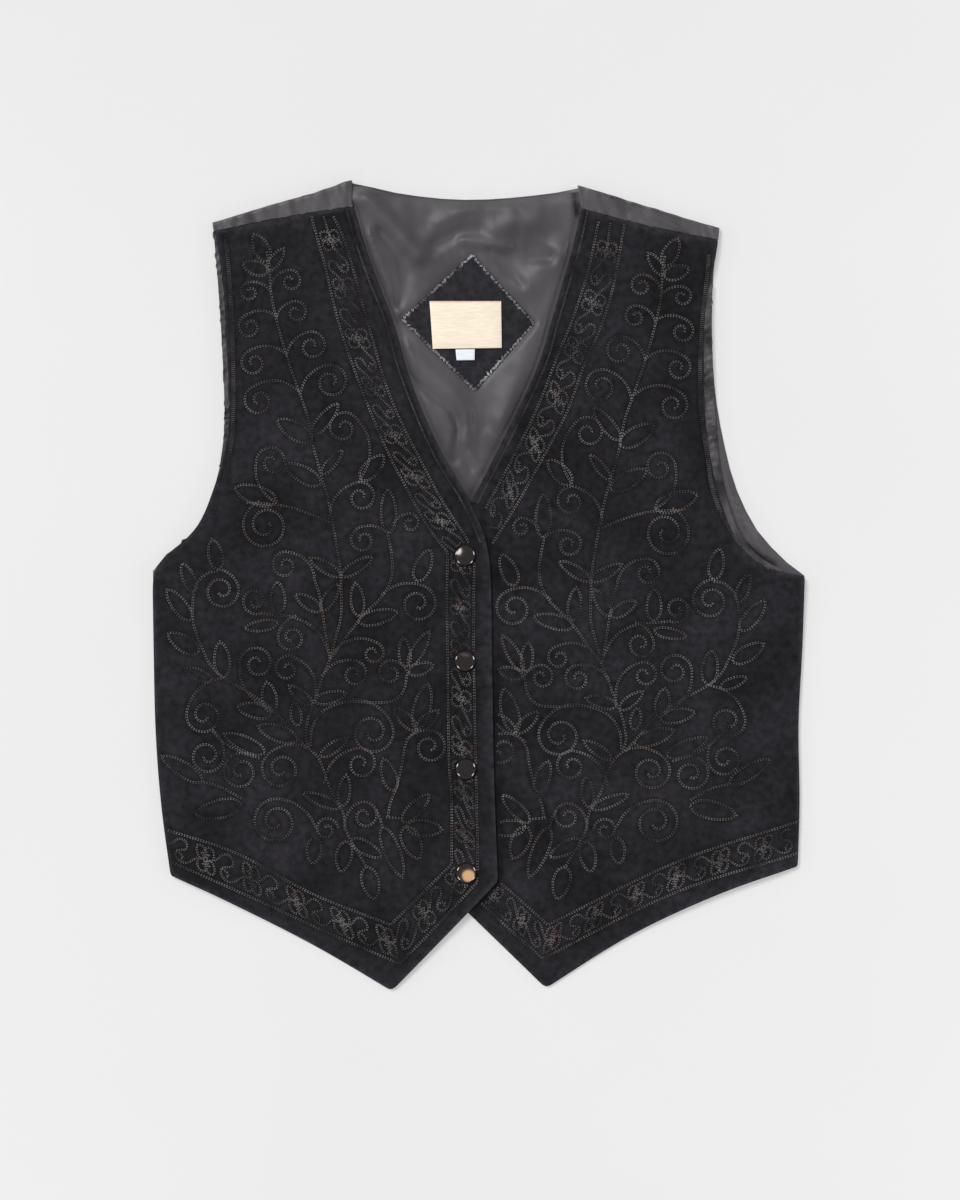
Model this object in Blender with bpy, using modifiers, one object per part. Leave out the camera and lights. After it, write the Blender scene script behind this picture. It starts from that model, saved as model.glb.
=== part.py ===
"""A suede vest, snapped shut and laid flat on its back.

Metres, +Z up. The origin is on the surface the vest lies on, under the middle of its outline.
+X runs to the viewer's right and +Y to the neck. Right and left are the wearer's, so the right
front is on the viewer's left. The panels are stacked as they lie: back, back lining, left front,
and the right front lapping over it.
"""

import math

import bmesh
import bpy
from mathutils import Vector

MM = 0.001

# Walls, and the levels of each panel's underside
SATIN_WALL = 1.0 * MM
SUEDE_WALL = 1.8 * MM
PATCH_WALL = 1.2 * MM
SEAM_GAP = 0.3 * MM
SEAM_LEVEL = SATIN_WALL + SEAM_GAP
FRONT_LEVEL = 2.9 * MM
LAP_LIFT = SUEDE_WALL + 0.4 * MM

# Press-stud caps
SNAP_RADIUS = 8.1 * MM
SNAP_HEIGHT = 2.6 * MM
SNAP_STEPS = 24
SNAP_CENTRES = [(-10.8, 23.0), (-10.8, -58.0), (-10.2, -141.0), (-9.8, -221.0)]
# columns: share of the radius, share of the height
SNAP_PROFILE = [(0.0, 1.0), (0.62, 1.0), (0.78, 0.92), (0.93, 0.62), (1.0, 0.34), (0.96, 0.08), (0.86, 0.0),
                (0.0, 0.0)]

# Label patch, label and size tab: corners from the top left, clockwise, in millimetres
PATCH_CORNERS = [(-5.5, 252.5), (41.5, 201.5), (-3.5, 151.5), (-57.5, 204.5)]
LABEL_CORNERS = [(-38.0, 218.5), (17.0, 218.5), (17.5, 182.5), (-35.5, 181.8)]
TAB_CORNERS = [(-18.0, 181.3), (-3.2, 181.5), (-3.4, 173.2), (-17.2, 173.0)]

PATCH_GRID = 4

# Grid of a front: its columns run from side seam to front edge, its rows from hem to shoulder
FRONT_COLUMNS = 18
POINT_COLUMN = 11
ROWS = 30
UNDERARM_ROW = 13
UNDERARM_SHARE = UNDERARM_ROW / ROWS
# How much closer the columns stand at both edges of a front, 0 where they are even
CROWDING = 0.5

# Grid of the back: the neckline lies between two of its columns
BACK_COLUMNS = 22
NECK_COLUMNS = (6, 16)
NECK_SHARES = [column / BACK_COLUMNS for column in NECK_COLUMNS]
LINING_COLUMNS = 30

# Edges of the fronts as they lie, in millimetres
# columns: right front x, right front y, left front x, left front y
SIDE_SEAM = [
    (-237.0, -223.0, 245.0, -216.0),
    (-244.0, -172.0, 246.5, -165.0),
    (-248.5, -115.0, 245.5, -107.0),
    (-250.0, -55.0, 248.5, -50.0),
    (-251.0, 11.0, 250.5, 7.5),
]
ARMHOLE = [
    (-251.0, 11.0, 250.5, 7.5),
    (-245.6, 20.4, 236.5, 10.5),
    (-231.0, 30.0, 213.5, 22.5),
    (-214.5, 47.5, 198.7, 42.7),
    (-200.3, 88.0, 187.5, 80.0),
    (-195.6, 122.0, 183.0, 112.0),
    (-196.5, 162.0, 179.4, 181.0),
    (-199.5, 216.0, 179.4, 227.0),
    (-204.0, 272.0, 183.8, 265.3),
]
SHOULDER = [
    (-204.0, 272.0, 183.8, 265.3),
    (-152.0, 282.5, 130.0, 276.0),
    (-97.0, 291.0, 78.5, 289.5),
]
HEM = [
    (-237.0, -223.0, 245.0, -216.0),
    (-199.5, -240.0, 185.6, -236.8),
    (-130.0, -275.0, 116.3, -269.0),
    (-67.0, -312.0, 51.5, -310.0),
]
CUTAWAY = [
    (-67.0, -312.0, 51.5, -310.0),
    (-8.5, -251.5, -8.5, -251.5),
    (14.5, -227.0, -34.5, -227.0),
]
FRONT_EDGE = [
    (14.5, -227.0, -34.5, -227.0),
    (11.5, -146.0, -31.5, -146.0),
    (10.0, -57.0, -30.0, -57.0),
    (9.0, 8.0, -29.0, 8.0),
    (6.0, 35.0, -26.0, 35.0),
]
NECK_EDGE = [
    (6.0, 35.0, -26.0, 35.0),
    (-7.5, 65.0, -6.0, 65.0),
    (-32.0, 106.5, 21.0, 117.5),
    (-55.0, 162.0, 46.0, 170.5),
    (-67.0, 204.5, 56.0, 204.5),
    (-80.0, 237.0, 65.5, 237.0),
    (-90.0, 266.0, 72.5, 262.0),
    (-97.0, 291.0, 78.5, 289.5),
]

# Edges of the back, in millimetres
# columns: x, y
BACK_LEFT_ARMHOLE = [
    (250.5, 7.5),
    (235.0, 19.5),
    (214.0, 42.5),
    (201.5, 66.0),
    (193.3, 89.0),
    (182.5, 143.0),
    (179.2, 200.0),
    (181.0, 247.0),
    (185.0, 275.0),
]
RIGHT_FOLD = [(-205.0, 279.0), (-169.5, 290.0), (-129.5, 301.5), (-98.0, 312.0)]
NECKLINE = [(-98.0, 312.0), (-69.0, 303.0), (-9.0, 296.8), (61.0, 302.5), (76.0, 308.0)]
LEFT_FOLD = [(76.0, 308.0), (111.0, 297.5), (151.0, 285.0), (185.0, 275.0)]

# How far the satin binding shows outside the suede
# columns: share of the armhole from underarm to shoulder, width in millimetres
RIGHT_BINDING = [(0.35, 1.2), (0.47, 3.6), (0.88, 3.8), (1.0, 1.2)]
LEFT_BINDING = [(0.05, 1.2), (0.12, 4.6), (0.29, 5.0), (0.53, 8.0), (0.76, 6.5), (0.94, 1.2)]

# Creases of the lining where it shows in the neck opening
# columns: from x, from y, to x, to y, half width, height, all in millimetres
LINING_CREASES = [
    (-82.0, 290.0, -51.0, 256.0, 9.0, 2.2),
    (-62.0, 252.0, -55.0, 226.0, 7.0, 1.5),
    (-32.0, 268.0, -7.0, 276.0, 8.0, 1.4),
    (-2.0, 272.0, 50.0, 254.0, 9.0, 2.0),
    (-52.0, 178.0, -22.0, 144.0, 8.0, 2.4),
    (-22.0, 144.0, -14.0, 112.0, 8.0, 2.0),
    (40.0, 222.0, 20.0, 150.0, 9.0, 1.6),
]
# The creases fade out towards the neck edges, in millimetres, and the patch, in shares of its half size
CREASE_EDGE, CREASE_EDGE_RUN = 14.0, 12.0
CREASE_LOW_Y, CREASE_LOW_RUN = 70.0, 25.0
CREASE_PATCH, CREASE_PATCH_RUN = 1.35, 0.3

# Soft swells where the suede stands off the lining
# columns: centre x, centre y, half length along x, half length along y, height, in millimetres
SWELLS = [
    (-138.0, 120.0, 52.0, 95.0, 2.2),
    (-150.0, -95.0, 75.0, 90.0, 1.8),
    (122.0, 105.0, 50.0, 90.0, 2.0),
    (145.0, -90.0, 75.0, 95.0, 1.8),
]

# Where the lapped panels drop from the lining to the surface below the back's hem, in millimetres
BACK_HEM_Y = (-221.5, -214.5)
DROP_START_Y = -231.0
DROP_LENGTH = 55.0

# Where the right front rises to lap over the left one, in millimetres
LAP_START_X, LAP_RUN_X = -80.0, 34.0
LAP_TOP_Y, LAP_RUN_Y = 142.0, 62.0

# How the fronts rise from the side seam, in shares of the width and in rows
SIDE_BAND = 0.06
SEAM_ROWS = 3.0

# How far inside the back the lining is cut, in shares of the back's width and length
INSET_AT_ARMHOLE, INSET_AT_SEAM = 0.003, 0.034
INSET_ROWS = 2.0
INSET_AT_HEM, INSET_AT_FOLD, INSET_AT_NECK = 0.024, 0.009, 0.003

# Shoulder fold of the back, whose wall turns round it and runs forward to the shoulder seam
FOLD_RADIUS = 2.15 * MM
FOLD_STEPS = 4
RUN_STEPS = 2
FOLD_BAND = 5.0 * MM

# Linear base colours and finish of the stuffs
# columns: red, green, blue, roughness, metallic
STUFFS = {
    "black_suede": (0.020, 0.019, 0.023, 0.95, 0.0),
    "grey_satin": (0.100, 0.094, 0.102, 0.45, 0.0),
    "black_gloss": (0.008, 0.008, 0.009, 0.12, 0.0),
    "cream_weave": (0.900, 0.830, 0.700, 0.85, 0.0),
}


def clear_scene():
    for thing in list(bpy.data.objects):
        bpy.data.objects.remove(thing, do_unlink=True)


def vest_collection():
    group = bpy.data.collections.new("suede_vest")
    bpy.context.scene.collection.children.link(group)
    return group


def stuff(name, node):
    red, green, blue, rough, metal = STUFFS[name]
    material = bpy.data.materials.new(node + "_" + name)
    material.use_nodes = True
    shader = material.node_tree.nodes["Principled BSDF"]
    shader.inputs["Base Color"].default_value = (red, green, blue, 1.0)
    shader.inputs["Roughness"].default_value = rough
    shader.inputs["Metallic"].default_value = metal
    return material


def smooth(share):
    """A soft step from 0 to 1."""
    share = min(max(share, 0.0), 1.0)
    return share * share * (3.0 - 2.0 * share)


def crowded(share):
    """Grid lines closer together at both ends, where a panel's edge turns down."""
    return share - CROWDING * math.sin(math.tau * share) / math.tau


def read_table(rows, share):
    """A value between the rows of a two-column table."""
    for (start, low), (end, high) in zip(rows, rows[1:]):
        if share <= end:
            return low + (high - low) * max(share - start, 0.0) / (end - start)
    return rows[-1][1]


def through(points):
    """A smooth curve through points in millimetres, read in metres by its share of the length."""
    stops = [Vector((x, y, 0.0)) * MM for x, y in points]
    lengths = [0.0]
    for start, end in zip(stops, stops[1:]):
        lengths.append(lengths[-1] + (end - start).length)
    shares = [length / lengths[-1] for length in lengths]
    last = len(stops) - 1
    slopes = []
    for i in range(last + 1):
        before = max(i - 1, 0)
        after = min(i + 1, last)
        slopes.append((stops[after] - stops[before]) / (shares[after] - shares[before]))

    def at(share):
        i = max(k for k in range(last) if shares[k] <= max(share, 0.0))
        span = shares[i + 1] - shares[i]
        t = (share - shares[i]) / span
        rise = t * t * (3.0 - 2.0 * t)
        leave = t * (1.0 - t) ** 2 * span
        arrive = -t * t * (1.0 - t) * span
        return stops[i] * (1.0 - rise) + stops[i + 1] * rise + slopes[i] * leave + slopes[i + 1] * arrive

    return at


def in_turn(curves, ends):
    """Curves joined end to end, each up to its own share, so that a corner falls on a grid line."""
    starts = [0.0] + ends[:-1]

    def at(share):
        for curve, start, end in zip(curves, starts, ends):
            if share <= end + 1e-6:
                return curve(min((share - start) / (end - start), 1.0))
        return curves[-1](1.0)

    return at


def stretched_between(hem, top, side, edge):
    """A surface stretched between four edges: across from side to edge, up from hem to top."""

    def at(across, up):
        ruled = hem(across) * (1.0 - up) + top(across) * up
        ruled = ruled + side(up) * (1.0 - across) + edge(up) * across
        low = hem(0.0) * (1.0 - across) + hem(1.0) * across
        high = top(0.0) * (1.0 - across) + top(1.0) * across
        return ruled - low * (1.0 - up) - high * up

    return at


def front_columns(rows, right):
    """The two columns of an edge table that belong to one front."""
    first = 0 if right else 2
    return [(row[first], row[first + 1]) for row in rows]


def armhole_inward(armhole, share):
    """The direction from the armhole's edge into the front."""
    step = 0.01
    along = armhole(min(share + step, 1.0)) - armhole(max(share - step, 0.0))
    across = Vector((along.y, -along.x, 0.0)).normalized()
    return across if across.x * armhole(share).x < 0.0 else -across


def binding_share(binding, share):
    """Whether the binding reaches this share of the armhole."""
    return binding[0][0] - 1e-6 <= share <= binding[-1][0] + 1e-6


def suede_armhole(armhole, binding):
    """The armhole edge of the suede, set back where the satin binding shows."""

    def at(share):
        if not binding_share(binding, share):
            return armhole(share)
        set_back = read_table(binding, share) * MM + SEAM_GAP
        return armhole(share) + armhole_inward(armhole, share) * set_back

    return at


def front_surface(right):
    """The outline of one front and its grid."""
    point_share = crowded(POINT_COLUMN / FRONT_COLUMNS)
    curves = {}
    for name, rows in [("side", SIDE_SEAM), ("armhole", ARMHOLE), ("shoulder", SHOULDER), ("hem", HEM),
                       ("cutaway", CUTAWAY), ("front", FRONT_EDGE), ("neck", NECK_EDGE)]:
        curves[name] = through(front_columns(rows, right))
    binding = RIGHT_BINDING if right else LEFT_BINDING
    cut = suede_armhole(curves["armhole"], binding)
    hem = in_turn([curves["hem"], curves["cutaway"]], [point_share, 1.0])
    side = in_turn([curves["side"], cut], [UNDERARM_SHARE, 1.0])
    edge = in_turn([curves["front"], curves["neck"]], [UNDERARM_SHARE, 1.0])
    set_back = side(1.0) - curves["shoulder"](0.0)

    def top(across):
        return curves["shoulder"](across) + set_back * (1.0 - across)

    return stretched_between(hem, top, side, edge)


def swell(place):
    """How far a soft swell lifts the suede at a place."""
    lift = 0.0
    for x, y, half_x, half_y, height in SWELLS:
        reach = ((place.x / MM - x) / half_x) ** 2 + ((place.y / MM - y) / half_y) ** 2
        if reach < 1.0:
            lift = max(lift, height * MM * (1.0 - reach) ** 2)
    return lift


def front_height(right):
    """The underside of a front: low at the side seam, lifted at the lap, dropped past the back's hem."""
    seam_share = SEAM_ROWS / ROWS

    def at(across, up, place):
        open_edge = smooth((up - UNDERARM_SHARE + seam_share) / seam_share)
        edge_level = SEAM_LEVEL + (FRONT_LEVEL - SEAM_LEVEL) * open_edge
        level = edge_level + (FRONT_LEVEL - edge_level) * smooth(across / SIDE_BAND)
        drop = smooth((DROP_START_Y - place.y / MM) / DROP_LENGTH)
        level = level * (1.0 - drop) + swell(place)
        if right:
            over_left = smooth((place.x / MM - LAP_START_X) / LAP_RUN_X)
            below_neck = smooth((LAP_TOP_Y - place.y / MM) / LAP_RUN_Y)
            level = level + LAP_LIFT * over_left * below_neck
        return level

    return at


def back_edges():
    """The back's hem, its two sides and its top, which folds over at the shoulders."""
    right_side = through(front_columns(SIDE_SEAM, True))
    left_side = through(front_columns(SIDE_SEAM, False))
    right_armhole = through(front_columns(ARMHOLE, True)[:-1] + [RIGHT_FOLD[0]])
    hem = through([(SIDE_SEAM[0][0], BACK_HEM_Y[0]), (SIDE_SEAM[0][2], BACK_HEM_Y[1])])
    side = in_turn([right_side, right_armhole], [UNDERARM_SHARE, 1.0])
    edge = in_turn([left_side, through(BACK_LEFT_ARMHOLE)], [UNDERARM_SHARE, 1.0])
    top = in_turn([through(RIGHT_FOLD), through(NECKLINE), through(LEFT_FOLD)], NECK_SHARES + [1.0])
    return hem, top, side, edge


def crease_height(place):
    """Height of the lining's creases: only in the neck opening, and none under the patch."""
    x, y = place.x / MM, place.y / MM
    right_edge = read_table([(row[1], row[0]) for row in NECK_EDGE], y)
    left_edge = read_table([(row[3], row[2]) for row in NECK_EDGE], y)
    inside = smooth((min(x - right_edge, left_edge - x) - CREASE_EDGE) / CREASE_EDGE_RUN)
    inside = inside * smooth((y - CREASE_LOW_Y) / CREASE_LOW_RUN)
    top, right, bottom, left = PATCH_CORNERS
    middle_x, middle_y = (left[0] + right[0]) / 2.0, (top[1] + bottom[1]) / 2.0
    half_x, half_y = (right[0] - left[0]) / 2.0, (top[1] - bottom[1]) / 2.0
    from_patch = abs(x - middle_x) / half_x + abs(y - middle_y) / half_y
    inside = inside * smooth((from_patch - CREASE_PATCH) / CREASE_PATCH_RUN)
    height = 0.0
    for from_x, from_y, to_x, to_y, half_width, rise in LINING_CREASES:
        start, run = Vector((from_x, from_y)), Vector((to_x - from_x, to_y - from_y))
        along = min(max((Vector((x, y)) - start).dot(run) / run.length_squared, 0.0), 1.0)
        away = (Vector((x, y)) - start - run * along).length / half_width
        height = max(height, rise * MM * math.exp(-away * away))
    return height * inside


def lining_surface():
    """The back's surface drawn in: hidden at the side seams, hem and shoulders, to the edge elsewhere."""
    back = stretched_between(*back_edges())
    right_neck, left_neck = NECK_SHARES

    def at(across, up):
        below_armhole = smooth((UNDERARM_SHARE - up) * ROWS / INSET_ROWS)
        inset = INSET_AT_ARMHOLE + (INSET_AT_SEAM - INSET_AT_ARMHOLE) * below_armhole
        at_neck = right_neck - 1e-3 <= across <= left_neck + 1e-3
        top = 1.0 - (INSET_AT_NECK if at_neck else INSET_AT_FOLD)
        return back(inset + (1.0 - 2.0 * inset) * across, INSET_AT_HEM + (top - INSET_AT_HEM) * up)

    return at


def laid_grid(surface, height, columns, rows, spacing=None):
    """A grid laid on a surface, each point raised to its height, faces up."""
    mesh = bmesh.new()
    bmesh.ops.create_grid(mesh, x_segments=columns, y_segments=rows, size=0.5)
    for vert in mesh.verts:
        across, up = vert.co.x + 0.5, vert.co.y + 0.5
        if spacing:
            across = spacing(across)
        place = surface(across, up)
        vert.co = (place.x, place.y, height(across, up, place))
    mesh.normal_update()
    if next(iter(mesh.faces)).normal.z < 0.0:
        bmesh.ops.reverse_faces(mesh, faces=mesh.faces)
    return mesh


def merge_flat(mesh):
    """Level faces become one, so that a flat stretch costs few triangles."""
    bmesh.ops.dissolve_limit(mesh, angle_limit=1e-4, use_dissolve_boundaries=False,
                             verts=mesh.verts, edges=mesh.edges, delimit=set())


def add_piece(group, node, mesh, material, wall=None):
    """One named piece; an open sheet gets its wall upwards from the underside."""
    data = bpy.data.meshes.new(node)
    mesh.to_mesh(data)
    mesh.free()
    data.materials.append(material)
    piece = bpy.data.objects.new(node, data)
    group.objects.link(piece)
    if wall:
        solid = piece.modifiers.new("wall", "SOLIDIFY")
        solid.thickness = wall
        solid.offset = 1.0
        solid.use_even_offset = True
        solid.use_quality_normals = True
    return piece


def make_front(group, right):
    node = "front_right" if right else "front_left"
    mesh = laid_grid(front_surface(right), front_height(right), FRONT_COLUMNS, ROWS, crowded)
    add_piece(group, node, mesh, stuff("black_suede", node), SUEDE_WALL)


def yoke_point(fold, seam, step):
    """A point of the yoke: round the shoulder fold in steps, then forward to the seam."""
    forward = (seam - fold).normalized()
    turn = math.pi * min(step, FOLD_STEPS) / FOLD_STEPS
    rise = FOLD_RADIUS * (1.0 - math.cos(turn))
    rounded = fold + forward * FOLD_RADIUS * (1.0 - math.sin(turn))
    run = max(step - FOLD_STEPS, 0) / RUN_STEPS
    place = rounded + (seam - rounded) * run
    return Vector((place.x, place.y, rise))


def roll_yoke(mesh, edges, fold, seam):
    """Extrude the back's shoulder edge round the fold and forward, a row at a time."""
    row = list(dict.fromkeys(vert for edge in edges for vert in edge.verts))
    for step in range(FOLD_STEPS + RUN_STEPS + 1):
        if step > 0:
            grown = bmesh.ops.extrude_edge_only(mesh, edges=edges)["geom"]
            row = [item for item in grown if isinstance(item, bmesh.types.BMVert)]
            edges = [item for item in grown if isinstance(item, bmesh.types.BMEdge)
                     and item.verts[0] in row and item.verts[1] in row]
        row.sort(key=lambda vert: vert.co.x)
        for i, vert in enumerate(row):
            share = i / (len(row) - 1)
            vert.co = yoke_point(fold(share), seam(share), step)


def make_back(group):
    """The back and its two shoulder yokes, one piece of satin."""
    hem, top, side, edge = back_edges()
    mesh = laid_grid(stretched_between(hem, top, side, edge), lambda across, up, place: 0.0,
                     BACK_COLUMNS, ROWS)
    right_neck, left_neck = NECK_SHARES
    from_suede = Vector((0.0, SEAM_GAP, 0.0))
    for right in (True, False):
        shoulder = through(front_columns(SHOULDER, right))
        if right:
            fold = through(RIGHT_FOLD)
            outer, inner = top(0.0).x, top(right_neck).x
        else:
            fold = through(LEFT_FOLD)
            outer, inner = top(1.0).x, top(left_neck).x

        def seam(share, shoulder=shoulder, right=right):
            return shoulder(share if right else 1.0 - share) + from_suede

        low, high = min(outer, inner) - SEAM_GAP, max(outer, inner) + SEAM_GAP
        rim = [line for line in mesh.edges if line.is_boundary
               and all(low <= vert.co.x <= high and vert.co.y > top(0.0).y - FOLD_BAND for vert in line.verts)
               and abs(line.verts[0].co.x - line.verts[1].co.x) > FOLD_BAND]
        roll_yoke(mesh, rim, fold, seam)
    bmesh.ops.recalc_face_normals(mesh, faces=mesh.faces)
    flat = max(mesh.faces, key=lambda face: face.calc_area())
    if flat.normal.z < 0.0:
        bmesh.ops.reverse_faces(mesh, faces=mesh.faces)
    merge_flat(mesh)
    add_piece(group, "back", mesh, stuff("grey_satin", "back"), SATIN_WALL)


def make_lining(group):
    mesh = laid_grid(lining_surface(), lambda across, up, place: SEAM_LEVEL + crease_height(place),
                     LINING_COLUMNS, ROWS)
    merge_flat(mesh)
    add_piece(group, "back_lining", mesh, stuff("grey_satin", "back_lining"), SATIN_WALL)


def make_binding(group, right):
    """The satin strip along an armhole, in the same rows as the suede beside it."""
    node = "right_armhole_binding" if right else "left_armhole_binding"
    binding = RIGHT_BINDING if right else LEFT_BINDING
    armhole = through(front_columns(ARMHOLE, right))
    armhole_rows = ROWS - UNDERARM_ROW
    shares = [i / armhole_rows for i in range(armhole_rows + 1)]
    shares = [share for share in shares if binding_share(binding, share)]

    def surface(across, up):
        share = shares[round(up * (len(shares) - 1))]
        width = read_table(binding, share) * MM
        return armhole(share) + armhole_inward(armhole, share) * width * across

    mesh = laid_grid(surface, lambda across, up, place: FRONT_LEVEL, 1, len(shares) - 1)
    add_piece(group, node, mesh, stuff("grey_satin", node), SATIN_WALL)


def make_flat_piece(group, node, corners, level, wall, material):
    """A four-cornered piece of cloth lying level."""
    top_left, top_right, bottom_right, bottom_left = [Vector((x, y, 0.0)) * MM for x, y in corners]

    def surface(across, up):
        low = bottom_left.lerp(bottom_right, across)
        return low.lerp(top_left.lerp(top_right, across), up)

    mesh = laid_grid(surface, lambda across, up, place: level, PATCH_GRID, PATCH_GRID)
    add_piece(group, node, mesh, stuff(material, node), wall)


def make_label(group):
    """The suede diamond on the lining, with the blank label and size tab on it."""
    on_lining = SEAM_LEVEL + SATIN_WALL + SEAM_GAP
    on_patch = on_lining + PATCH_WALL + SEAM_GAP
    make_flat_piece(group, "label_patch", PATCH_CORNERS, on_lining, PATCH_WALL, "black_suede")
    make_flat_piece(group, "label", LABEL_CORNERS, on_patch, SATIN_WALL, "cream_weave")
    make_flat_piece(group, "size_tab", TAB_CORNERS, on_patch, SATIN_WALL, "cream_weave")


def make_snaps(group):
    """Press-stud caps: a turned profile with a flat face, a bevelled rim and a rolled edge."""
    level = FRONT_LEVEL + LAP_LIFT + SUEDE_WALL + SEAM_GAP
    for number, (x, y) in enumerate(SNAP_CENTRES, start=1):
        node = "snap_cap_%d" % number
        mesh = bmesh.new()
        verts = [mesh.verts.new((r * SNAP_RADIUS, 0.0, z * SNAP_HEIGHT)) for r, z in SNAP_PROFILE]
        for start, end in zip(verts, verts[1:]):
            mesh.edges.new((start, end))
        piece = add_piece(group, node, mesh, stuff("black_gloss", node))
        piece.location = (x * MM, y * MM, level)
        turned = piece.modifiers.new("turned", "SCREW")
        turned.axis = "Z"
        turned.steps = SNAP_STEPS
        turned.render_steps = SNAP_STEPS
        turned.use_merge_vertices = True
        turned.merge_threshold = 0.0001


def build():
    clear_scene()
    group = vest_collection()
    make_back(group)
    make_lining(group)
    for right in (True, False):
        make_front(group, right)
        make_binding(group, right)
    make_label(group)
    make_snaps(group)


build()
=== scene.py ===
import math

import bmesh
import bpy
import numpy as np
from mathutils import Matrix, Vector, noise
from mathutils.bvhtree import BVHTree
from mathutils.kdtree import KDTree


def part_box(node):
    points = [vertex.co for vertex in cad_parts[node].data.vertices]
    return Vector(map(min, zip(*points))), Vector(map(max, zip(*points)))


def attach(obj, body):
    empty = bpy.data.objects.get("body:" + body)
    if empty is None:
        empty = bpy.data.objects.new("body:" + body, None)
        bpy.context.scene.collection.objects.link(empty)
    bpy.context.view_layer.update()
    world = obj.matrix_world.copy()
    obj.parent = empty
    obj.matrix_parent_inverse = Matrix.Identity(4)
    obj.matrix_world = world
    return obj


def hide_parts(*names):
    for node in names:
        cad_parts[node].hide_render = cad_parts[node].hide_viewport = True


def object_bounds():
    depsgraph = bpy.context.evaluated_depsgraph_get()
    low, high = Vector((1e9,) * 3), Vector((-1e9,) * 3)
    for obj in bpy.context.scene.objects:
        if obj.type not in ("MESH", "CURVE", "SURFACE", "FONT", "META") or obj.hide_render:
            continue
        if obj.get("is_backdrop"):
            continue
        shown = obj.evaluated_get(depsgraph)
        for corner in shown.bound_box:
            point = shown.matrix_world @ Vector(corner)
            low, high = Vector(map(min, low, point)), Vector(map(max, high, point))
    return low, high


# A suede vest, snapped shut and laid flat on its back: its looks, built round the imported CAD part.
# Metres, +Z up, +X to the viewer's right and +Y to the neck; tables of places are in millimetres.
# Right and left are the wearer's, so the right front is on the viewer's left.
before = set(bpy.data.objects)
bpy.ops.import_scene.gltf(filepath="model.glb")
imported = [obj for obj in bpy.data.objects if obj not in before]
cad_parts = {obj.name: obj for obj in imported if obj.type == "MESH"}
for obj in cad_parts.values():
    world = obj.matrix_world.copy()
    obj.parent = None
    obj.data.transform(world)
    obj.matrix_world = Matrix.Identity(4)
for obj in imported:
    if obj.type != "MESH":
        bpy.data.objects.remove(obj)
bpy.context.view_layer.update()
MM = 0.001

# Camera: straight above the vest, with the photograph's own framing.
# It stands as far off as its lens needs for a view 0.924 m tall.
CAMERA_PLACE = (0.77 * MM, -11.2 * MM, 2.182)
camera_data = bpy.data.cameras.new("camera")
camera_data.lens = 85.0
camera_data.sensor_width = 36.0
camera = bpy.data.objects.new("camera", camera_data)
camera.location = CAMERA_PLACE
bpy.context.scene.collection.objects.link(camera)
bpy.context.scene.camera = camera

# Light: an even pale sky and one broad soft sun from the viewer's upper left, which draws the folds.
# Four low lamps show as short glints on the rims of the snap caps, three small ones as spots on their faces.
SKY_STRENGTH = 0.30
sky = bpy.data.worlds.new("studio_sky")
sky.use_nodes = True
sky.node_tree.nodes["Background"].inputs["Color"].default_value = (1.0, 1.0, 1.0, 1.0)
sky.node_tree.nodes["Background"].inputs["Strength"].default_value = SKY_STRENGTH
bpy.context.scene.world = sky
bpy.context.scene.view_settings.view_transform = "Standard"

SUN_FROM = (-0.60, 0.66, 1.0)
sun_data = bpy.data.lights.new("key_sun", "SUN")
sun_data.energy = 2.55
sun_data.angle = math.radians(28.0)
sun = bpy.data.objects.new("key_sun", sun_data)
sun.location = SUN_FROM
sun.rotation_euler = (-Vector(SUN_FROM)).to_track_quat("-Z", "Y").to_euler()
bpy.context.scene.collection.objects.link(sun)
# columns: name, place, width, height, watts, colour
LAMPS = [
    ("glint_upper_left", (-1.35, 0.40, 0.44), 0.62, 0.30, 4.0, (1.0, 1.0, 1.0)),
    ("glint_upper_right", (1.35, 0.40, 0.44), 0.62, 0.30, 4.0, (1.0, 1.0, 1.0)),
    ("glint_lower_left", (-1.08, -1.04, 0.44), 0.56, 0.30, 3.5, (1.0, 1.0, 1.0)),
    ("glint_lower_right", (1.08, -1.04, 0.44), 0.56, 0.30, 3.5, (1.0, 1.0, 1.0)),
    ("white_spot", (-0.0284, 0.0537, 1.5), 0.0090, 0.0130, 0.0030, (1.0, 1.0, 1.0)),
    ("rosy_spot", (-0.0188, -0.0820, 1.5), 0.0130, 0.0034, 0.0001, (1.0, 0.72, 0.68)),
    ("gold_spot", (-0.0140, -0.3678, 1.5), 0.0165, 0.0155, 0.0050, (1.0, 0.70, 0.34)),
]
for name, place, width, height, watts, colour in LAMPS:
    data = bpy.data.lights.new(name, "AREA")
    data.shape = "ELLIPSE"
    data.size = width
    data.size_y = height
    data.energy = watts
    data.color = colour
    lamp = bpy.data.objects.new(name, data)
    lamp.location = place
    lamp.rotation_euler = (-Vector(place)).to_track_quat("-Z", "Y").to_euler()
    lamp.visible_camera = False
    bpy.context.scene.collection.objects.link(lamp)

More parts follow.
